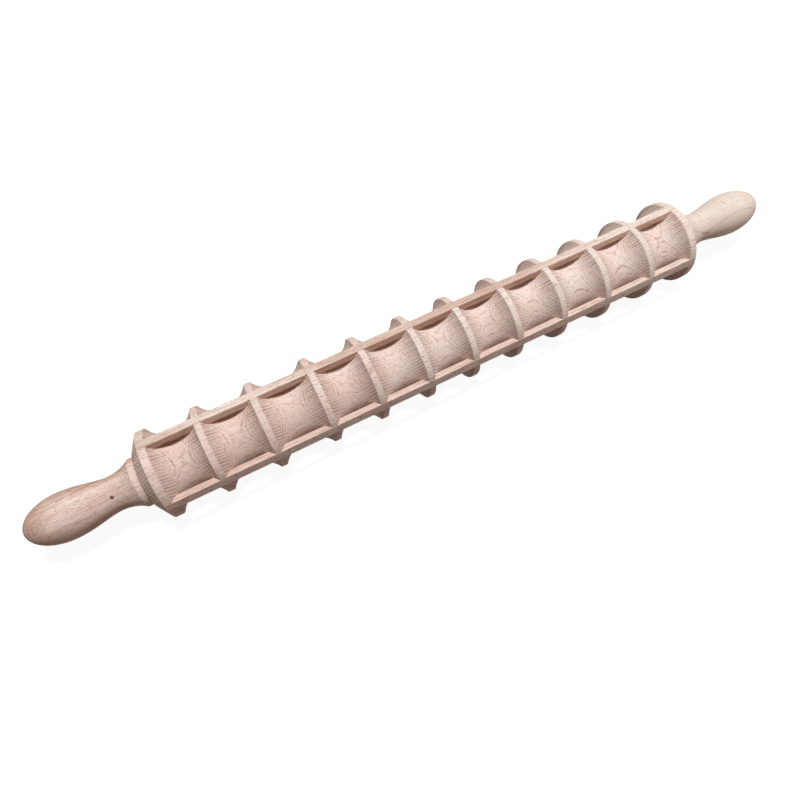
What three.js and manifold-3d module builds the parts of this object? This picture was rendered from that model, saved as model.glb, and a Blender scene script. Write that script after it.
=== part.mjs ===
// Ravioli rolling pin: a turned beech roller with ribs, coves and four inlaid slats that part its surface
// into pockets, running on a steel rod between two turned handles.
// Millimetres, +Z up. The origin is on the roller's axis at mid length, and the axis runs along X.
// At rest one slat points straight down, so the pin lies on that slat's flat outer face.
import * as THREE from 'three';
import { mergeVertices } from 'three/addons/utils/BufferGeometryUtils.js';
import Module from 'manifold-3d';

// Roller
const ROLLER_RADIUS = 32.5;
const RIB_PITCH = 39.3;        // mean distance from rib to rib
const RIB_BAND = 4.5;          // flat band on top of each rib
const RIM_BAND = 5.5;          // the wider band at each end of the roller
const COVE_DEPTH = 10;         // depth of the round hollow between two ribs
const END_BEVEL_LENGTH = 7.5;  // along the axis, from the rim's outer edge to the end face
const END_FACE_RADIUS = 21.2;
// How far each rib lies off an even row, from left to right: the pockets were turned by eye.
const RIB_DRIFT = [0, -1.5, -0.8, 2.2, 1.2, 0.6, -1.3, -2.7, -2.7, -2, -0.5, 0];

// Slats
const SLAT_NAMES = ['slat_top', 'slat_rear', 'slat_bottom', 'slat_front'];
const SLAT_WIDTH = 6.7;
const SLAT_HEIGHT = 5.2;       // how deep the slat is let into the ribs

// Axle rod and its bushes
const ROD_RADIUS = 5;
const ROD_SOCKET_DEPTH = 52;   // how far the rod reaches into each handle
const BUSH_WALL = 3;
const BUSH_LENGTH = 22;
const COLLAR_WIDTH = 5;        // how far the collar stands out from the bush's sleeve
const COLLAR_THICKNESS = 2;
const COLLAR_RECESS = 1.8;     // how deep the collar is let into the roller's end face

// Handles, measured from the flat face at the roller's end
const HANDLE_LENGTH = 82.5;
const FLANGE_RADIUS = 18;
const FLANGE_WIDTH = 4.5;
const NECK_RADIUS = 12.6;
const NECK_FROM_FACE = 21.4;   // the thinnest place
const BULB_RADIUS = 17;
const BULB_FROM_FACE = 54.5;   // the thickest place
const GRIP_LEAN = 0.85;        // below 1 the grip swells sooner after the neck

// Brads that lock the handles to the rod
const BRAD_RADIUS = 1.1;
const BRAD_FROM_FACE = 21;
const BRAD_BITE = 3;           // how far the brad reaches into the rod
const BRAD_SINK = 0.3;         // how far its head lies below the wood
const BRAD_ANGLE = 40 * Math.PI / 180; // about the axis, from +Y towards +Z on the right handle

// Clearances
const SEAT_GAP = 0.3;          // between pieces that are glued or pressed together
const RUN_GAP = 0.3;           // between pieces that turn against each other
const BORE_GAP = 1.2;          // between the rod and the roller's bore, clear of the bushes

// Facets
const ROLLER_SIDES = 36;
const HANDLE_SIDES = 28;
const ROD_SIDES = 24;
const BRAD_SIDES = 10;
const COVE_STEPS = 6;
const CURVE_STEPS = 6;

// Stations along the axis
const lastRib = (RIB_DRIFT.length - 1) * RIB_PITCH / 2;
const ribStations = RIB_DRIFT.map((drift, rib) => rib * RIB_PITCH - lastRib + drift);
const rimEdge = lastRib - RIB_BAND / 2 + RIM_BAND;
const endFace = rimEdge + END_BEVEL_LENGTH;
const collarFace = endFace - COLLAR_RECESS + SEAT_GAP + COLLAR_THICKNESS;
const handleFace = collarFace + RUN_GAP;
const bradStation = handleFace + BRAD_FROM_FACE;

// Radii that follow from the rod
const bushBoreRadius = ROD_RADIUS + RUN_GAP;
const bushRadius = bushBoreRadius + BUSH_WALL;
const bushSeatRadius = bushRadius + SEAT_GAP;
const collarRadius = bushRadius + COLLAR_WIDTH;
const collarSeatRadius = collarRadius + SEAT_GAP;
const rollerBoreRadius = ROD_RADIUS + BORE_GAP;
const socketRadius = ROD_RADIUS + SEAT_GAP;

const wasm = await Module();
wasm.setup();

const beech = new THREE.MeshStandardMaterial({ color: 0xd8b8a2, roughness: 0.62, metalness: 0 });
const darkBeech = new THREE.MeshStandardMaterial({ color: 0xc9a084, roughness: 0.6, metalness: 0 });
const steel = new THREE.MeshStandardMaterial({ color: 0xb4b6ba, roughness: 0.35, metalness: 1 });
const nylon = new THREE.MeshStandardMaterial({ color: 0xe6e2d8, roughness: 0.5, metalness: 0 });

// A body of revolution about X. Each point of the profile is [station along X, radius].
function turned(profile, sides) {
  const points = profile.map(([station, radius]) => new THREE.Vector2(radius, station));
  return new THREE.LatheGeometry(points, sides).rotateZ(-Math.PI / 2);
}

function toSolid(geometry) {
  const bare = geometry.clone();
  bare.deleteAttribute('normal');
  bare.deleteAttribute('uv');
  const merged = mergeVertices(bare, 1e-4);
  return new wasm.Manifold(new wasm.Mesh({
    numProp: 3,
    vertProperties: new Float32Array(merged.attributes.position.array),
    triVerts: new Uint32Array(merged.index.array),
  }));
}

function toGeometry(solid) {
  const mesh = solid.getMesh();
  const geometry = new THREE.BufferGeometry();
  geometry.setAttribute('position', new THREE.BufferAttribute(mesh.vertProperties, 3));
  geometry.setIndex(new THREE.BufferAttribute(mesh.triVerts, 1));
  geometry.computeVertexNormals();
  return geometry;
}

function cut(geometry, cutters) {
  const body = cutters.reduce((solid, cutter) => solid.subtract(toSolid(cutter)), toSolid(geometry));
  return toGeometry(body);
}

// A round pin or hole that points out from the axis, between two radii, at one station.
function radialPin(station, innerRadius, outerRadius, radius, angle) {
  const pin = new THREE.CylinderGeometry(radius, radius, outerRadius - innerRadius, BRAD_SIDES);
  return pin.translate(0, (innerRadius + outerRadius) / 2, 0).rotateX(angle).translate(station, 0, 0);
}

// The cove between two ribs is an arc through the edges of their bands.
function covePoints(leftRib, rightRib) {
  const middle = (leftRib + rightRib) / 2;
  const halfChord = (rightRib - leftRib - RIB_BAND) / 2;
  const arcRadius = (halfChord ** 2 + COVE_DEPTH ** 2) / (2 * COVE_DEPTH);
  const arcCentre = ROLLER_RADIUS - COVE_DEPTH + arcRadius;
  const halfAngle = Math.atan2(halfChord, arcRadius - COVE_DEPTH);
  const points = [];
  for (let step = 0; step <= COVE_STEPS; step += 1) {
    const angle = halfAngle * (2 * step / COVE_STEPS - 1);
    points.push([middle + arcRadius * Math.sin(angle), arcCentre - arcRadius * Math.cos(angle)]);
  }
  return points;
}

function slotFor(angle) {
  const depth = SLAT_HEIGHT + SEAT_GAP;
  const floor = ROLLER_RADIUS - depth;
  const slot = new THREE.BoxGeometry(2 * endFace, SLAT_WIDTH + 2 * SEAT_GAP, 2 * depth);
  return slot.translate(0, 0, floor + depth).rotateX(angle);
}

function slatAngle(index) {
  return -index * 2 * Math.PI / SLAT_NAMES.length;
}

function makeBarrel() {
  const profile = [
    [-endFace + BUSH_LENGTH, rollerBoreRadius],
    [-endFace + BUSH_LENGTH, bushSeatRadius],
    [-endFace + COLLAR_RECESS, bushSeatRadius],
    [-endFace + COLLAR_RECESS, collarSeatRadius],
    [-endFace, collarSeatRadius],
    [-endFace, END_FACE_RADIUS],
    [-rimEdge, ROLLER_RADIUS],
  ];
  for (let rib = 1; rib < ribStations.length; rib += 1) {
    profile.push(...covePoints(ribStations[rib - 1], ribStations[rib]));
  }
  profile.push(
    [rimEdge, ROLLER_RADIUS],
    [endFace, END_FACE_RADIUS],
    [endFace, collarSeatRadius],
    [endFace - COLLAR_RECESS, collarSeatRadius],
    [endFace - COLLAR_RECESS, bushSeatRadius],
    [endFace - BUSH_LENGTH, bushSeatRadius],
    [endFace - BUSH_LENGTH, rollerBoreRadius],
    [-endFace + BUSH_LENGTH, rollerBoreRadius],
  );
  const slots = SLAT_NAMES.map((name, index) => slotFor(slatAngle(index)));
  const barrel = new THREE.Mesh(cut(turned(profile, ROLLER_SIDES), slots), beech);
  barrel.name = 'barrel';
  return barrel;
}

// A slat is a long strip whose ends follow the bevel at the roller's ends.
function makeSlat(name, angle) {
  const bevelSlope = END_BEVEL_LENGTH / (ROLLER_RADIUS - END_FACE_RADIUS);
  const footEdge = rimEdge + SLAT_HEIGHT * bevelSlope;
  const side = new THREE.Shape([
    new THREE.Vector2(-footEdge, ROLLER_RADIUS - SLAT_HEIGHT),
    new THREE.Vector2(footEdge, ROLLER_RADIUS - SLAT_HEIGHT),
    new THREE.Vector2(rimEdge, ROLLER_RADIUS),
    new THREE.Vector2(-rimEdge, ROLLER_RADIUS),
  ]);
  const strip = new THREE.ExtrudeGeometry(side, { depth: SLAT_WIDTH, bevelEnabled: false });
  strip.translate(0, 0, -SLAT_WIDTH / 2).rotateX(Math.PI / 2);
  const slat = new THREE.Mesh(strip, beech);
  slat.name = name;
  slat.rotation.x = angle;
  return slat;
}

// A bush points out along +X with its collar's outer face at 0.
function makeBush(name) {
  const sleeveEnd = -COLLAR_THICKNESS - (BUSH_LENGTH - COLLAR_RECESS - 2 * SEAT_GAP);
  const profile = [
    [sleeveEnd, bushBoreRadius],
    [sleeveEnd, bushRadius],
    [-COLLAR_THICKNESS, bushRadius],
    [-COLLAR_THICKNESS, collarRadius],
    [0, collarRadius],
    [0, bushBoreRadius],
    [sleeveEnd, bushBoreRadius],
  ];
  const bush = new THREE.Mesh(turned(profile, ROD_SIDES), nylon);
  bush.name = name;
  return bush;
}

// The neck's cove is an arc from the flange's edge that runs level at the thinnest place.
function neckCove() {
  const run = NECK_FROM_FACE - FLANGE_WIDTH;
  const drop = FLANGE_RADIUS - NECK_RADIUS;
  const arcRadius = (run ** 2 + drop ** 2) / (2 * drop);
  const sweep = 2 * Math.atan2(drop, run);
  const points = [];
  for (let step = 0; step < CURVE_STEPS; step += 1) {
    const angle = sweep * (1 - step / CURVE_STEPS);
    points.push([
      NECK_FROM_FACE - arcRadius * Math.sin(angle),
      NECK_RADIUS + arcRadius * (1 - Math.cos(angle)),
    ]);
  }
  return points;
}

// The grip swells from the neck to the bulb on half a cosine wave that leans towards the neck.
function gripSwell() {
  const points = [];
  for (let step = 0; step < CURVE_STEPS; step += 1) {
    const share = step / CURVE_STEPS;
    const swell = (1 - Math.cos(Math.PI * share ** GRIP_LEAN)) / 2;
    points.push([
      NECK_FROM_FACE + (BULB_FROM_FACE - NECK_FROM_FACE) * share,
      NECK_RADIUS + (BULB_RADIUS - NECK_RADIUS) * swell,
    ]);
  }
  return points;
}

// The end is a quarter ellipse from the bulb to the tip, which lies on the axis.
function roundedEnd() {
  const points = [];
  for (let step = 0; step < CURVE_STEPS; step += 1) {
    const angle = (step / CURVE_STEPS) * Math.PI / 2;
    points.push([
      BULB_FROM_FACE + (HANDLE_LENGTH - BULB_FROM_FACE) * Math.sin(angle),
      BULB_RADIUS * Math.cos(angle),
    ]);
  }
  points.push([HANDLE_LENGTH, 0]);
  return points;
}

// A handle points out along +X with its flat face at 0.
function makeHandle(name, material) {
  const socketEnd = ROD_SOCKET_DEPTH + SEAT_GAP;
  const profile = [
    [socketEnd, 0],
    [socketEnd, socketRadius],
    [0, socketRadius],
    [0, FLANGE_RADIUS],
    ...neckCove(),
    ...gripSwell(),
    ...roundedEnd(),
  ];
  const hole = radialPin(BRAD_FROM_FACE, ROD_RADIUS, FLANGE_RADIUS, BRAD_RADIUS + SEAT_GAP, BRAD_ANGLE);
  const handle = new THREE.Mesh(cut(turned(profile, HANDLE_SIDES), [hole]), material);
  handle.name = name;
  return handle;
}

function makeBrad(name) {
  const tip = ROD_RADIUS - BRAD_BITE;
  const brad = new THREE.Mesh(
    radialPin(BRAD_FROM_FACE, tip, NECK_RADIUS - BRAD_SINK, BRAD_RADIUS, BRAD_ANGLE), steel);
  brad.name = name;
  return brad;
}

// The rod has a blind cross hole for each brad.
function makeRod() {
  const rodEnd = handleFace + ROD_SOCKET_DEPTH;
  const profile = [[-rodEnd, 0], [-rodEnd, ROD_RADIUS], [rodEnd, ROD_RADIUS], [rodEnd, 0]];
  const holeFloor = ROD_RADIUS - BRAD_BITE - SEAT_GAP;
  const rightHole = radialPin(bradStation, holeFloor, 2 * ROD_RADIUS, BRAD_RADIUS + SEAT_GAP, BRAD_ANGLE);
  const leftHole = rightHole.clone().rotateZ(Math.PI);
  const rod = new THREE.Mesh(cut(turned(profile, ROD_SIDES), [rightHole, leftHole]), steel);
  rod.name = 'axle_rod';
  return rod;
}

// The roller: barrel, slats and the bushes in its ends.
const roller = new THREE.Group();
roller.add(makeBarrel());
SLAT_NAMES.forEach((name, index) => roller.add(makeSlat(name, slatAngle(index))));

// The handles with their rod and brads. The left end is the right end turned about Z.
const handles = new THREE.Group();
handles.add(makeRod());

const ends = [
  { side: 'right', turn: 0, sign: 1, wood: beech },
  { side: 'left', turn: Math.PI, sign: -1, wood: darkBeech },
];
for (const { side, turn, sign, wood } of ends) {
  const bush = makeBush(`bush_${side}`);
  bush.position.x = sign * collarFace;
  bush.rotation.z = turn;
  roller.add(bush);

  const grip = new THREE.Group();
  grip.position.x = sign * handleFace;
  grip.rotation.z = turn;
  grip.add(makeHandle(`handle_${side}`, wood), makeBrad(`brad_${side}`));
  handles.add(grip);
}

const rollingPin = new THREE.Group();
rollingPin.add(roller, handles);

export default rollingPin;
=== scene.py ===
import math

import bpy
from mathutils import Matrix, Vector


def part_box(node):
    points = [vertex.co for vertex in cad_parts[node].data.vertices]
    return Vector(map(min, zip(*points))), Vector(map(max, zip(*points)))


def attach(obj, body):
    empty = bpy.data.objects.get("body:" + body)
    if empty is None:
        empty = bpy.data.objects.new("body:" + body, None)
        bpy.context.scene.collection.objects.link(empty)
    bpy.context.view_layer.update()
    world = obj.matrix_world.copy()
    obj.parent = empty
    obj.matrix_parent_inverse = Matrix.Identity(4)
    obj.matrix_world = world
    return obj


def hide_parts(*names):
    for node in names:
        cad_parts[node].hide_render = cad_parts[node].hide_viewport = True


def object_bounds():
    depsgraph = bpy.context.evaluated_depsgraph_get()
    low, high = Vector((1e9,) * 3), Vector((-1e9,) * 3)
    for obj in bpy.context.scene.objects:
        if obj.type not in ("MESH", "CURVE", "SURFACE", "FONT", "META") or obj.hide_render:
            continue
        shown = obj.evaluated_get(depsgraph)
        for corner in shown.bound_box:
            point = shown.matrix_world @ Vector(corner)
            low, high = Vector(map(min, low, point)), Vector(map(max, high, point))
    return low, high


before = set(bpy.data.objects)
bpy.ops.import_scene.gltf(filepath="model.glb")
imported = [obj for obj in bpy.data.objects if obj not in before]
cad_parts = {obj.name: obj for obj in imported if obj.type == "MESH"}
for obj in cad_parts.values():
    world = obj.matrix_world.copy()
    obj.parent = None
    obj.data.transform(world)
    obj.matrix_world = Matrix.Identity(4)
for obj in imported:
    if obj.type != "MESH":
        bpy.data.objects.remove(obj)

cad_box = [list(corner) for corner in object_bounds()]


# Barrel
# The roller's body, turned by eye from one beech blank: twelve ribs, not quite evenly spaced, with a
# round cove between each two, a bevel at each end, a bore with a seat for a bush at each end, and
# four grooves for the slats.

roller_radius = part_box("slat_top")[1].z
end_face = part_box("barrel")[1].x
mm_per_m = 1000
rib_pitch = 0.0393
rib_drift_mm = (0, -1.5, -0.8, 2.2, 1.2, 0.6, -1.3, -2.7, -2.7, -2, -0.5, 0)
rib_band = 0.0045
cove_depth = 0.010
cove_steps = 20
end_bevel = 0.0075
end_face_radius = 0.0212
bush_length = 0.022
collar_recess = 0.0018
bore_radius = 0.0062
bush_seat_radius = 0.0085
collar_seat_radius = 0.0135
lathe_steps = 128
weld_distance = 1e-6
edge_break = 0.0003
edge_angle = math.radians(25)
smooth_angle = math.radians(30)
glue_line = 0.0001
slat_low, slat_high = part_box("slat_top")

grain_slope = (0.8, 0.5)
sanded_radius_mm = 32
sanded_tone = (0.95, 0.83, 0.76, 1)
pore_tone = (0.77, 0.69, 0.63, 1)
end_grain_tone = (0.80, 0.71, 0.66, 1)
# Colour of the painted shade in the strip under the top and bottom slats.
painted_shade_tone = (0.58, 0.35, 0.25, 1)

last_rib = (len(rib_drift_mm) - 1) * rib_pitch / 2
rib_stations = [
    rib * rib_pitch - last_rib + drift / mm_per_m for rib, drift in enumerate(rib_drift_mm)
]
rim_edge = end_face - end_bevel


def turn(name, outline, steps):
    """Draws an outline of (station along X, radius) points and spins it about the X axis."""
    bpy.ops.object.select_all(action="DESELECT")
    bpy.ops.mesh.primitive_plane_add(size=roller_radius, enter_editmode=True)
    bpy.ops.mesh.merge(type="CENTER")
    station, radius = outline[0]
    bpy.ops.transform.translate(value=(station, 0, radius))
    for next_station, next_radius in outline[1:]:
        move = (next_station - station, 0, next_radius - radius)
        bpy.ops.mesh.extrude_region_move(TRANSFORM_OT_translate={"value": move})
        station, radius = next_station, next_radius
    bpy.ops.mesh.select_all(action="SELECT")
    bpy.ops.mesh.spin(steps=steps, angle=math.tau, center=(0, 0, 0), axis=(1, 0, 0))
    bpy.ops.mesh.select_all(action="SELECT")
    bpy.ops.mesh.remove_doubles(threshold=weld_distance)
    bpy.ops.mesh.normals_make_consistent(inside=False)
    bpy.ops.object.mode_set(mode="OBJECT")
    piece = bpy.context.object
    piece.name = name
    return piece


def apply_last(piece):
    """Applies the modifier that was added last."""
    bpy.context.view_layer.objects.active = piece
    bpy.ops.object.modifier_apply(modifier=piece.modifiers[-1].name)


def break_edges(piece, width):
    """Rounds every sharp edge by a small width, as sandpaper does."""
    bevel = piece.modifiers.new("broken edges", "BEVEL")
    bevel.width = width
    bevel.segments = 2
    bevel.limit_method = "ANGLE"
    bevel.angle_limit = edge_angle
    apply_last(piece)


def cut_away(piece, cutter):
    """Cuts the cutter's shape out of a piece and throws the cutter away."""
    cut = piece.modifiers.new("cut", "BOOLEAN")
    cut.operation = "DIFFERENCE"
    cut.solver = "EXACT"
    cut.object = cutter
    apply_last(piece)
    bpy.data.objects.remove(cutter)


def put_together(piece, finish, body, node):
    """Shades a finished piece, gives it its finish and sets it in the frame in place of its node."""
    bpy.ops.object.select_all(action="DESELECT")
    piece.select_set(True)
    bpy.context.view_layer.objects.active = piece
    bpy.ops.object.shade_smooth_by_angle(angle=smooth_angle)
    shading = piece.modifiers.new("flat faces stay flat", "WEIGHTED_NORMAL")
    shading.keep_sharp = True
    apply_last(piece)
    piece.data.materials.clear()
    piece.data.materials.append(finish)
    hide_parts(node)
    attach(piece, body)


right_end = [
    (rim_edge, roller_radius),
    (end_face, end_face_radius),
    (end_face, collar_seat_radius),
    (end_face - collar_recess, collar_seat_radius),
    (end_face - collar_recess, bush_seat_radius),
    (end_face - bush_length, bush_seat_radius),
    (end_face - bush_length, bore_radius),
]
left_end = [(-station, radius) for station, radius in reversed(right_end)]
coves = []
for left_rib, right_rib in zip(rib_stations, rib_stations[1:]):
    half_chord = (right_rib - left_rib - rib_band) / 2
    cove_radius = (half_chord**2 + cove_depth**2) / (2 * cove_depth)
    cove_centre = roller_radius - cove_depth + cove_radius
    half_sweep = math.atan2(half_chord, cove_radius - cove_depth)
    for step in range(cove_steps + 1):
        angle = half_sweep * (2 * step / cove_steps - 1)
        coves.append(
            (
                (left_rib + right_rib) / 2 + cove_radius * math.sin(angle),
                cove_centre - cove_radius * math.cos(angle),
            )
        )
barrel = turn("ribbed_barrel", left_end + coves + right_end + left_end[:1], lathe_steps)
break_edges(barrel, edge_break)

groove_depth = slat_high.z - slat_low.z + glue_line
bpy.ops.object.select_all(action="DESELECT")
bpy.ops.mesh.primitive_cube_add(
    size=1,
    location=(0, 0, roller_radius),
    scale=(3 * end_face, slat_high.y - slat_low.y + 2 * glue_line, 2 * groove_depth),
)
grooves = bpy.context.object
bpy.ops.object.transform_apply(location=True, scale=True)
bpy.ops.object.mode_set(mode="EDIT")
bpy.ops.mesh.spin(steps=3, dupli=True, angle=math.tau * 3 / 4, center=(0, 0, 0), axis=(1, 0, 0))
bpy.ops.object.mode_set(mode="OBJECT")
cut_away(barrel, grooves)


class Strand:
    """One value in a finish's nodes. Arithmetic on it adds Math nodes to the same finish."""

    def __init__(self, tree, socket=None):
        self.tree = tree
        self.socket = socket

    def node(self, kind, settings={}, values={}, out=0):
        """Adds a node: first its settings, then the values or links of its sockets."""
        made = self.tree.nodes.new(kind)
        for name, setting in settings.items():
            setattr(made, name, setting)
        for name, value in values.items():
            if isinstance(value, Strand):
                self.tree.links.new(value.socket, made.inputs[name])
            else:
                made.inputs[name].default_value = value
        return Strand(self.tree, made.outputs[out] if made.outputs else None)

    def __getitem__(self, out):
        return Strand(self.tree, self.socket.node.outputs[out])

    def math(self, operation, first, second=0.0):
        return self.node("ShaderNodeMath", {"operation": operation}, {0: first, 1: second})

    def __add__(self, other):
        return self.math("ADD", self, other)

    __radd__ = __add__

    def __sub__(self, other):
        return self.math("SUBTRACT", self, other)

    def __rsub__(self, other):
        return self.math("SUBTRACT", other, self)

    def __mul__(self, other):
        return self.math("MULTIPLY", self, other)

    __rmul__ = __mul__

    def __truediv__(self, other):
        return self.math("DIVIDE", self, other)

    def __pow__(self, other):
        return self.math("POWER", self, other)

    def rise(self, low, high):
        """0 below low, 1 above high and smooth between them."""
        return self.node(
            "ShaderNodeMapRange",
            {"interpolation_type": "SMOOTHSTEP"},
            {"Value": self, "From Min": low, "From Max": high},
        )

    def stretched(self, x, y, z):
        """A vector times three numbers."""
        return self.node(
            "ShaderNodeVectorMath", {"operation": "MULTIPLY"}, {0: self, 1: (x, y, z)}
        )

    def noise(self, detail):
        return self.node("ShaderNodeTexNoise", {}, {"Vector": self, "Scale": 1, "Detail": detail})

    def dyed(self, share, colour, how="MIX"):
        """A colour with a share of another mixed or multiplied into it."""
        return self.node(
            "ShaderNodeMix",
            {"data_type": "RGBA", "blend_type": how},
            {0: share, 6: self, 7: colour},
            out=2,
        )


def new_finish(name):
    finish = bpy.data.materials.new(name)
    finish.use_nodes = True
    finish.node_tree.nodes.clear()
    return finish, Strand(finish.node_tree)


def beech(
    name,
    facing,
    ring_width,
    heart,
    pale,
    ruddy,
    late_wood,
    line_depth,
    fleck,
    shift=(0, 0, 0),
    drift=(0, 0, 0),
    late_width=0.5,
    waver=1,
    pores=0.6,
    sanded=(),
    sawn_and_shade=(1, 1, 1, 1),
    painted_shade_width=0,
):
    """Bare beech with its grain along X. The rings face a way that is turned from straight up
    towards the front, facing degrees. Lengths inside are millimetres: heart is how far off the
    middle of the tree was and drift is how fast the colour grows paler along each axis. Beyond the
    radius and the station in sanded it is smooth and paler, and within them it is multiplied by the
    tint after sanded, which on the top slat is partly its planed sides' own tone and partly painted
    shade on the faces turned away from the lamp.
    A strip under the top and bottom slats, whose half width is the last argument, is darkened
    with painted shade, more towards the left end.
    The rings waver and break up by waver, 1 for plain."""
    finish, wood = new_finish(name)
    place = wood.node("ShaderNodeTexCoord", out="Object")
    where = place.stretched(mm_per_m, mm_per_m, mm_per_m)
    across = wood.node("ShaderNodeSeparateXYZ", {}, {0: where})
    blank = wood.node(
        "ShaderNodeMapping",
        {},
        {
            "Vector": place,
            "Location": shift,
            "Rotation": [math.radians(angle) for angle in (-facing, *grain_slope)],
            "Scale": (mm_per_m, mm_per_m, mm_per_m),
        },
    )
    split = wood.node("ShaderNodeSeparateXYZ", {}, {0: blank})

    def lines(phase, share):
        """Dark lines, some strong and some weak, that end each whole step of phase and take up a
        share of it."""
        step = wood.math("FRACT", phase)
        number = wood.math("FLOOR", phase)
        weight = wood.node("ShaderNodeTexWhiteNoise", {"noise_dimensions": "1D"}, {"W": number})
        edge = step.rise(1 - share, 1 - 0.3 * share) * (1 - step.rise(1 - 0.2 * share, 1.0))
        return edge * (0.3 + 0.7 * weight)

    # Growth rings: each ends in a thin dark line of late wood, which breaks up along the grain.
    wander = blank.stretched(0.006, 0.035, 0.035).noise(2) - 0.5
    ripple = blank.stretched(0.06, 0.18, 0.18).noise(2) - 0.5
    from_heart = (split["Y"] ** 2 + (split["Z"] + heart) ** 2) ** 0.5 - heart
    wiggle = blank.stretched(0.35, 0.9, 0.9).noise(1) - 0.5
    depth = from_heart + 2 * wander + waver * (0.5 * ripple + 0.6 * wiggle)
    years = wood.node(
        "ShaderNodeTexNoise", {"noise_dimensions": "1D"}, {"W": depth * 0.2, "Scale": 1}
    )
    whole = blank.stretched(0.15, 0.5, 0.5).noise(2).rise(0.42, 0.66)
    line = lines(depth / ring_width + 2 * years, late_width / ring_width)
    line = line * (1 - 0.8 * waver * (1 - whole))

    # Rays: thin ribbons that run out from the heart. They show as dashes on the face of the rings
    # and as cross lines on the end grain.
    ribbons = wood.node(
        "ShaderNodeTexVoronoi",
        {},
        {"Vector": blank.stretched(0.25, 1.2, 0.06), "Scale": 1},
    )
    ray = 1 - ribbons.rise(0.12, 0.32)
    thread = lines(split["Y"] / 2.05 + blank.stretched(0.02, 0.1, 0.02).noise(1), 0.7)

    # Fibres and pores run along the grain. Cloudy patches vary the colour over the blank.
    fibre = blank.stretched(0.08, 1.3, 1.3).noise(4)
    cloud = blank.stretched(0.012, 0.05, 0.05).noise(2)

    # Where the lathe cut across the fibres, the end grain is darker and the rings stand out.
    normal = wood.node("ShaderNodeNewGeometry", out="Normal")
    along = wood.node("ShaderNodeSeparateXYZ", {}, {0: normal})["X"]
    end_grain = wood.math("ABSOLUTE", along).rise(0.15, 0.85)

    # The ground colour drifts from ruddy to pale, and then each feature is dyed into it.
    paling = wood.node(
        "ShaderNodeVectorMath", {"operation": "DOT_PRODUCT"}, {0: where, 1: drift}, out=1
    )
    colour = wood.node(
        "ShaderNodeMix",
        {"data_type": "RGBA"},
        {0: (cloud - paling).rise(0.35, 0.65), 6: pale, 7: ruddy},
        out=2,
    )
    skin = 0.0
    if sanded:
        radius, station = sanded
        skin = ((across["Y"] ** 2 + across["Z"] ** 2) ** 0.5).rise(radius - 0.5, radius)
        bevelled = wood.math("ABSOLUTE", across["X"]).rise(station - 0.5, station)
        skin = wood.math("MAXIMUM", skin, bevelled)
        colour = colour.dyed(skin * 0.25, sanded_tone)
        # Below the sanded skin the colour takes the tint after sanded; on the top slat this is
        # partly painted shade.
        colour = colour.dyed(1 - skin, sawn_and_shade, "MULTIPLY")
    colour = colour.dyed(line * (line_depth * (1 - 0.3 * skin)) * (1 - end_grain * skin), late_wood)
    colour = colour.dyed(line * end_grain * (1 - skin) * 0.4, late_wood)
    colour = colour.dyed(ray * (fleck * (1 + 0.5 * skin)), late_wood)
    colour = colour.dyed(thread * end_grain * (1.7 * fleck), late_wood)
    colour = colour.dyed(fibre.rise(0.4, 0.7) * pores, pore_tone, "MULTIPLY")
    colour = colour.dyed(end_grain * 0.15 * (1 - skin), end_grain_tone, "MULTIPLY")
    # Painted shade: a darker strip under the top and bottom slats, where the slats shade the coves,
    # deeper towards the left end.
    if painted_shade_width:
        painted_shade = 1 - wood.math("ABSOLUTE", across["Y"]).rise(0.2 * painted_shade_width, painted_shade_width)
        colour = colour.dyed(painted_shade * (0.6 - 0.001 * across["X"]), painted_shade_tone, "MULTIPLY")

    relief = fibre * 0.6 - line * 0.3 - ray * 0.2
    bump = wood.node(
        "ShaderNodeBump", {}, {"Strength": 0.25, "Distance": 0.0002, "Height": relief}
    )
    shader = wood.node(
        "ShaderNodeBsdfPrincipled",
        {},
        {
            "Base Color": colour,
            "Roughness": 0.55 + 0.2 * fibre,
            "Specular IOR Level": 0.15,
            "Normal": bump,
        },
    )
    wood.node("ShaderNodeOutputMaterial", {}, {"Surface": shader})
    return finish


put_together(
    barrel,
    beech(
        "pink beech",
        facing=36,
        ring_width=1.05,
        heart=60,
        pale=(0.92, 0.785, 0.72, 1),
        ruddy=(0.86, 0.685, 0.605, 1),
        late_wood=(0.36, 0.235, 0.20, 1),
        line_depth=0.9,
        fleck=0.5,
        # paler towards the right end
        drift=(0.0009, 0, 0),
        sanded=(sanded_radius_mm, mm_per_m * rim_edge),
        # half width of the painted shade under the top and bottom slats
        painted_shade_width=1.9,
    ),
    body="roller",
    node="barrel",
)


# Slats
# Four straight beech strips, planed square, glued into the barrel's grooves so that their outer
# faces lie level with the ribs. They were fitted before the ends were bevelled.

slat_foot = slat_high.x
pick_margin = 1e-5

bpy.ops.object.select_all(action="DESELECT")
bpy.ops.mesh.primitive_cube_add(
    size=1,
    location=(0, 0, (slat_low.z + slat_high.z) / 2),
    scale=(2 * slat_foot, slat_high.y - slat_low.y, slat_high.z - slat_low.z),
)
slat = bpy.context.object
bpy.ops.object.transform_apply(location=True, scale=True)
for vertex in slat.data.vertices:
    vertex.select = vertex.co.z > slat_high.z - pick_margin
for element in (*slat.data.edges, *slat.data.polygons):
    element.select = False
bpy.ops.object.mode_set(mode="EDIT")
bpy.ops.mesh.select_mode(type="VERT")
bpy.ops.transform.resize(value=(rim_edge / slat_foot, 1, 1), center_override=(0, 0, slat_high.z))
bpy.ops.object.mode_set(mode="OBJECT")
break_edges(slat, edge_break)

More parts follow.
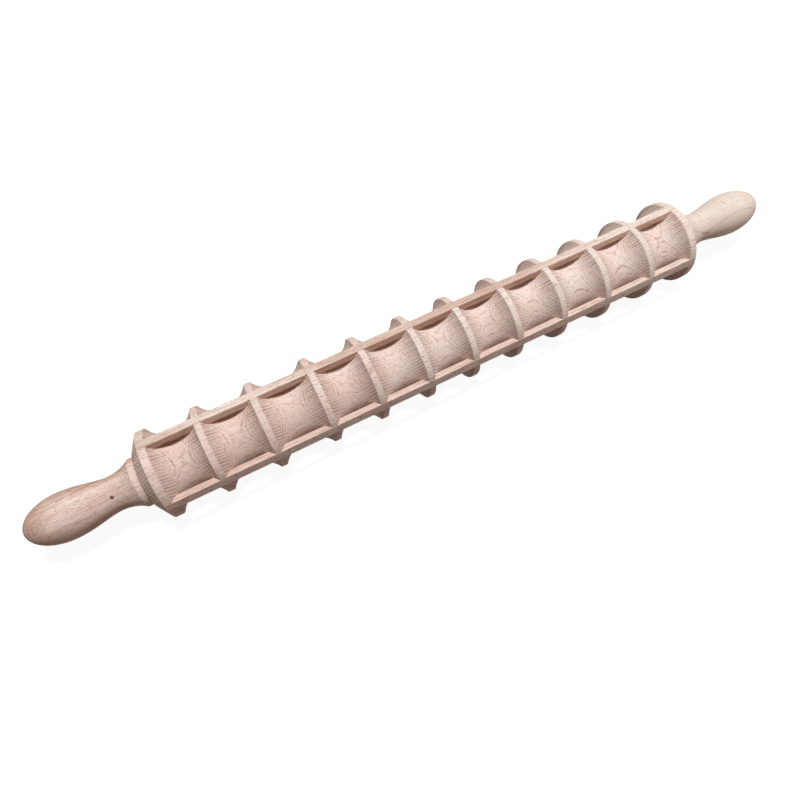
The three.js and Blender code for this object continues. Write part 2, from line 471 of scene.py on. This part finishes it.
slat_grain = {
    "top": {
        "facing": 48,
        "pale": (0.95, 0.82, 0.74, 1),
        "ruddy": (0.66, 0.46, 0.37, 1),
        # the top slat's sides and underside: partly their own tone, partly painted shade
        "sawn_and_shade": (0.94, 0.82, 0.74, 1),
        "shift": (3220, 0, 0),
    },
    "rear": {
        "facing": 15,
        "pale": (0.89, 0.745, 0.665, 1),
        "ruddy": (0.78, 0.60, 0.52, 1),
        "shift": (600, 0, 0),
    },
    "bottom": {
        "facing": 70,
        "pale": (0.89, 0.745, 0.665, 1),
        "ruddy": (0.76, 0.57, 0.48, 1),
        "shift": (1200, 0, 0),
    },
    "front": {
        "facing": 12,
        "pale": (0.82, 0.685, 0.615, 1),
        "ruddy": (0.76, 0.575, 0.505, 1),
        "shift": (4230, 0, 0),
    },
}


def turned_copy(piece, turn_by):
    """A copy of a piece, turned by three angles about the frame's axes."""
    bpy.ops.object.select_all(action="DESELECT")
    piece.select_set(True)
    bpy.context.view_layer.objects.active = piece
    bpy.ops.object.duplicate()
    twin = bpy.context.object
    twin.rotation_euler = turn_by
    bpy.ops.object.transform_apply(rotation=True)
    return twin


slats = [slat]
for quarter in range(1, len(slat_grain)):
    slats.append(turned_copy(slat, (-quarter * math.tau / len(slat_grain), 0, 0)))

for strip, (side, grain) in zip(slats, slat_grain.items()):
    strip.name = f"{side}_slat"
    put_together(
        strip,
        beech(
            f"{side} slat beech",
            ring_width=1.7,
            heart=180,
            late_wood=(0.42, 0.26, 0.20, 1),
            line_depth=0.95,
            fleck=0.5,
            pores=1.0,
            sanded=(sanded_radius_mm, mm_per_m * rim_edge),
            **grain,
        ),
        body="roller",
        node=f"slat_{side}",
    )


# Bushes
# Flanged plain bushes of white nylon, pressed into the barrel's ends. The rod turns in them, and
# their collars keep the handles off the wood.

collar_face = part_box("bush_right")[1].x
bush_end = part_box("bush_right")[0].x
collar_thickness = 0.002
bush_bore_radius = 0.0053
bush_radius = 0.0083
collar_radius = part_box("bush_right")[1].z
bush_steps = 48

bush = turn(
    "right_bush",
    [
        (bush_end, bush_bore_radius),
        (bush_end, bush_radius),
        (collar_face - collar_thickness, bush_radius),
        (collar_face - collar_thickness, collar_radius),
        (collar_face, collar_radius),
        (collar_face, bush_bore_radius),
        (bush_end, bush_bore_radius),
    ],
    bush_steps,
)
break_edges(bush, edge_break)


def left_twin(piece, name):
    """A copy for the left end, which is the right end turned half round about Z."""
    twin = turned_copy(piece, (0, 0, math.pi))
    twin.name = name
    return twin


def nylon(name):
    """Moulded nylon: milky, faintly cloudy, with the fine skin of the mould."""
    finish, resin = new_finish(name)
    place = resin.node("ShaderNodeTexCoord", out="Object")
    cloud = place.stretched(180, 180, 180).noise(2)
    skin = place.stretched(2500, 2500, 2500).noise(2)
    milky = resin.node(
        "ShaderNodeMix",
        {"data_type": "RGBA"},
        {0: cloud, 6: (0.80, 0.77, 0.70, 1), 7: (0.86, 0.84, 0.79, 1)},
        out=2,
    )
    bump = resin.node("ShaderNodeBump", {}, {"Strength": 0.15, "Distance": 0.0001, "Height": skin})
    shader = resin.node(
        "ShaderNodeBsdfPrincipled",
        {},
        {"Base Color": milky, "Roughness": 0.42 + 0.12 * skin, "Normal": bump},
    )
    resin.node("ShaderNodeOutputMaterial", {}, {"Surface": shader})
    return finish


bush_finish = nylon("white nylon")
for side, piece in {"left": left_twin(bush, "left_bush"), "right": bush}.items():
    put_together(piece, bush_finish, body="roller", node=f"bush_{side}")


# Axle rod
# A drawn steel rod through the barrel, chamfered at its ends, with a blind cross hole near each
# end where a brad bites.

rod_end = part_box("axle_rod")[1].x
rod_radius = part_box("axle_rod")[1].z
rod_chamfer = 0.0008
rod_steps = 48
brad_station = (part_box("brad_right")[0].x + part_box("brad_right")[1].x) / 2
brad_hole_radius = 0.0013
brad_tip = 0.002
brad_steps = 24
brad_lean = math.radians(50)


def cross_drill(side, inner, outer):
    """A drill's shape that points out from the axis at a brad's place, between two radii."""
    bpy.ops.object.select_all(action="DESELECT")
    middle = (inner + outer) / 2
    bpy.ops.mesh.primitive_cylinder_add(
        vertices=brad_steps,
        radius=brad_hole_radius,
        depth=outer - inner,
        location=(
            side * brad_station,
            side * middle * math.sin(brad_lean),
            middle * math.cos(brad_lean),
        ),
        rotation=(-side * brad_lean, 0, 0),
    )
    return bpy.context.object


rod = turn(
    "steel_rod",
    [
        (-rod_end, 0),
        (-rod_end, rod_radius - rod_chamfer),
        (-rod_end + rod_chamfer, rod_radius),
        (rod_end - rod_chamfer, rod_radius),
        (rod_end, rod_radius - rod_chamfer),
        (rod_end, 0),
    ],
    rod_steps,
)
for side in (-1, 1):
    cut_away(rod, cross_drill(side, brad_tip - glue_line, 2 * rod_radius))


def steel(name, bright, dull):
    """Drawn steel: fine scratches along the axis and dull patches."""
    finish, metal = new_finish(name)
    place = metal.node("ShaderNodeTexCoord", out="Object")
    scratch = place.stretched(60, 4000, 4000).noise(3)
    patch = place.stretched(150, 400, 400).noise(3).rise(0.4, 0.7)
    tone = metal.node(
        "ShaderNodeMix", {"data_type": "RGBA"}, {0: patch, 6: bright, 7: dull}, out=2
    )
    bump = metal.node(
        "ShaderNodeBump", {}, {"Strength": 0.2, "Distance": 0.00005, "Height": scratch}
    )
    shader = metal.node(
        "ShaderNodeBsdfPrincipled",
        {},
        {
            "Base Color": tone,
            "Metallic": 1.0,
            "Roughness": 0.28 + 0.18 * scratch + 0.15 * patch,
            "Normal": bump,
        },
    )
    metal.node("ShaderNodeOutputMaterial", {}, {"Surface": shader})
    return finish


put_together(
    rod,
    steel("drawn steel", bright=(0.56, 0.57, 0.58, 1), dull=(0.40, 0.39, 0.38, 1)),
    body="handle_set",
    node="axle_rod",
)


# Handles
# Two turned beech grips: a flange against the bush, a cove down to a slim neck, and a swelling
# round end. Each has a blind socket for the rod and a small cross hole for its brad.

handle_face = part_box("handle_right")[0].x
handle_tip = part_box("handle_right")[1].x
flange_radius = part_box("handle_right")[1].z
flange_width = 0.0045
flange_round = 0.0007
round_steps = 4
neck_radius = 0.0126
neck_distance = 0.0214
bulb_radius = 0.0170
bulb_distance = 0.0545
grip_lean = 0.85
socket_radius = 0.0052
socket_spare = 0.0003
curve_steps = 14
handle_steps = 96

neck_station = handle_face + neck_distance
bulb_station = handle_face + bulb_distance
socket_end = rod_end + socket_spare

handle_outline = [
    (socket_end, 0),
    (socket_end, socket_radius),
    (handle_face, socket_radius),
]
for step in range(round_steps + 1):
    angle = step / round_steps * math.pi / 2
    handle_outline.append(
        (
            handle_face + flange_round * (1 - math.cos(angle)),
            flange_radius - flange_round * (1 - math.sin(angle)),
        )
    )
cove_run = neck_station - handle_face - flange_width
cove_drop = flange_radius - neck_radius
arc_radius = (cove_run**2 + cove_drop**2) / (2 * cove_drop)
arc_sweep = 2 * math.atan2(cove_drop, cove_run)
for step in range(curve_steps):
    angle = arc_sweep * (1 - step / curve_steps)
    handle_outline.append(
        (
            neck_station - arc_radius * math.sin(angle),
            neck_radius + arc_radius * (1 - math.cos(angle)),
        )
    )
for step in range(curve_steps):
    share = step / curve_steps
    swell = (1 - math.cos(math.pi * share**grip_lean)) / 2
    handle_outline.append(
        (
            neck_station + (bulb_station - neck_station) * share,
            neck_radius + (bulb_radius - neck_radius) * swell,
        )
    )
for step in range(curve_steps):
    angle = step / curve_steps * math.pi / 2
    handle_outline.append(
        (
            bulb_station + (handle_tip - bulb_station) * math.sin(angle),
            bulb_radius * math.cos(angle),
        )
    )
handle_outline.append((handle_tip, 0))

right_handle = turn("right_handle", handle_outline, handle_steps)
break_edges(right_handle, edge_break)
cut_away(right_handle, cross_drill(1, rod_radius, flange_radius))
left_handle = left_twin(right_handle, "left_handle")

put_together(
    left_handle,
    beech(
        "tan beech",
        facing=-38,
        ring_width=1.35,
        heart=300,
        pale=(0.94, 0.775, 0.70, 1),
        ruddy=(0.69, 0.48, 0.39, 1),
        late_wood=(0.38, 0.21, 0.13, 1),
        line_depth=1.0,
        late_width=0.75,
        waver=0.6,
        fleck=0.35,
        shift=(90, 20, 3),
        # paler towards the top and front, darker and redder towards the bottom and back
        drift=(0.0005, -0.0173, 0.0112),
        pores=0.8,
    ),
    body="handle_set",
    node="handle_left",
)
put_together(
    right_handle,
    beech(
        "cream beech",
        facing=92,
        ring_width=5.5,
        heart=300,
        pale=(0.87, 0.775, 0.70, 1),
        ruddy=(0.83, 0.72, 0.635, 1),
        late_wood=(0.45, 0.31, 0.24, 1),
        line_depth=0.9,
        late_width=0.7,
        waver=0.9,
        fleck=0.35,
        shift=(40, 0, 2),
        pores=0.3,
    ),
    body="handle_set",
    node="handle_right",
)


# Brads
# Two small steel brads, driven through the necks into the rod so that handles and rod turn as
# one. Their heads lie just below the wood and have gone brown.

brad_radius = 0.0011
brad_sunk = 0.0003
brad_point = 0.0018
brad_point_share = 0.3
brad_edge_break = 0.0002
brad_head = neck_radius - brad_sunk
brad_middle = (brad_tip + brad_head) / 2

bpy.ops.object.select_all(action="DESELECT")
bpy.ops.mesh.primitive_cylinder_add(
    vertices=brad_steps, radius=brad_radius, depth=brad_head - brad_tip, enter_editmode=True
)
brad = bpy.context.object
brad.name = "right_brad"
bpy.ops.mesh.bisect(plane_co=(0, 0, brad_tip + brad_point - brad_middle), plane_no=(0, 0, 1))
bpy.ops.object.mode_set(mode="OBJECT")
for element in (*brad.data.edges, *brad.data.polygons):
    element.select = False
for vertex in brad.data.vertices:
    vertex.select = vertex.co.z < brad_tip - brad_middle + pick_margin
bpy.ops.object.mode_set(mode="EDIT")
bpy.ops.mesh.select_mode(type="VERT")
bpy.ops.transform.resize(
    value=(brad_point_share, brad_point_share, 1), center_override=(0, 0, brad_tip - brad_middle)
)
bpy.ops.object.mode_set(mode="OBJECT")
break_edges(brad, brad_edge_break)
brad.location = (
    brad_station,
    brad_middle * math.sin(brad_lean),
    brad_middle * math.cos(brad_lean),
)
brad.rotation_euler.x = -brad_lean
bpy.ops.object.transform_apply(location=True, rotation=True)

brad_finish = steel("browned steel", bright=(0.16, 0.09, 0.06, 1), dull=(0.08, 0.05, 0.035, 1))
for side, piece in {"left": left_twin(brad, "left_brad"), "right": brad}.items():
    put_together(piece, brad_finish, body="handle_set", node=f"brad_{side}")


# Studio
# A pale floor under the pin, one broad soft lamp overhead and a little to the right, a weak low lamp
# at the right front, a weak warm fill all round, and the camera above the front at the photograph's
# angle.

floor_size = 4
floor_glow = 0.93
floor_tone = (0.20, 0.20, 0.20, 1)
floor_bounce = (0.17, 0.115, 0.095, 1)
white_tone = (1, 1, 1, 1)
fill_tone = (1.0, 0.82, 0.76, 1)
fill_strength = 0.155
camera_place = (-0.13219, -0.31029, 0.33158)
camera_turn = (40.58, 7.95, -26.41)
camera_lens = 27.82
camera_near = 0.01

scene = bpy.context.scene
scene.view_settings.view_transform = "Standard"


def looked_at(strand):
    """1 on rays from the camera, off a shiny piece or through a clear one, and 0 on the light's."""
    light_path = strand.node("ShaderNodeLightPath")
    seen = strand.math("MAXIMUM", light_path["Is Camera Ray"], light_path["Is Glossy Ray"])
    return strand.math("MAXIMUM", seen, light_path["Is Transmission Ray"])


bpy.ops.object.select_all(action="DESELECT")
bpy.ops.mesh.primitive_plane_add(size=floor_size, location=(0, 0, cad_box[0][2]))
floor = bpy.context.object
floor.name = "floor"
floor_finish, paper = new_finish("white paper")
seen = looked_at(paper)
paper_tone = paper.node(
    "ShaderNodeMix", {"data_type": "RGBA"}, {0: seen, 6: floor_bounce, 7: floor_tone}, out=2
)
lit = paper.node("ShaderNodeBsdfDiffuse", {}, {"Color": paper_tone})
glow = paper.node("ShaderNodeEmission", {}, {"Color": white_tone, "Strength": seen * floor_glow})
sheet = paper.node("ShaderNodeAddShader", {}, {0: lit, 1: glow})
paper.node("ShaderNodeOutputMaterial", {}, {"Surface": sheet})
floor.data.materials.append(floor_finish)

world = bpy.data.worlds.new("studio")
scene.world = world
world.use_nodes = True
world.node_tree.nodes.clear()
air = Strand(world.node_tree)
fill = air.node("ShaderNodeBackground", {}, {"Color": fill_tone, "Strength": fill_strength})
white = air.node("ShaderNodeBackground", {}, {"Color": white_tone, "Strength": 1.0})
around = air.node("ShaderNodeMixShader", {}, {0: looked_at(air), 1: fill, 2: white})
air.node("ShaderNodeOutputWorld", {}, {"Surface": around})


def disk_lamp(name, place, turned, size, power, tint):
    """A round soft lamp at a place, turned by three angles in degrees from pointing down."""
    bpy.ops.object.light_add(type="AREA", location=place)
    lamp = bpy.context.object
    lamp.name = name
    lamp.rotation_euler = [math.radians(angle) for angle in turned]
    lamp.data.shape = "DISK"
    lamp.data.size = size
    lamp.data.energy = power
    lamp.data.color = tint


disk_lamp(
    "overhead_lamp",
    place=(0.30, -0.40, 2.6),
    turned=(8.7, 6.5, 0),
    size=0.5,
    power=61,
    tint=(1, 1, 1),
)
disk_lamp(
    "low_lamp",
    place=(0.45, -0.35, 0.10),
    turned=(78, 0, 42),
    size=0.3,
    power=0.2,
    tint=(1.0, 0.85, 0.78),
)

bpy.ops.object.camera_add(
    location=camera_place, rotation=[math.radians(angle) for angle in camera_turn]
)
camera = bpy.context.object
camera.data.lens = camera_lens
camera.data.clip_start = camera_near
scene.camera = camera
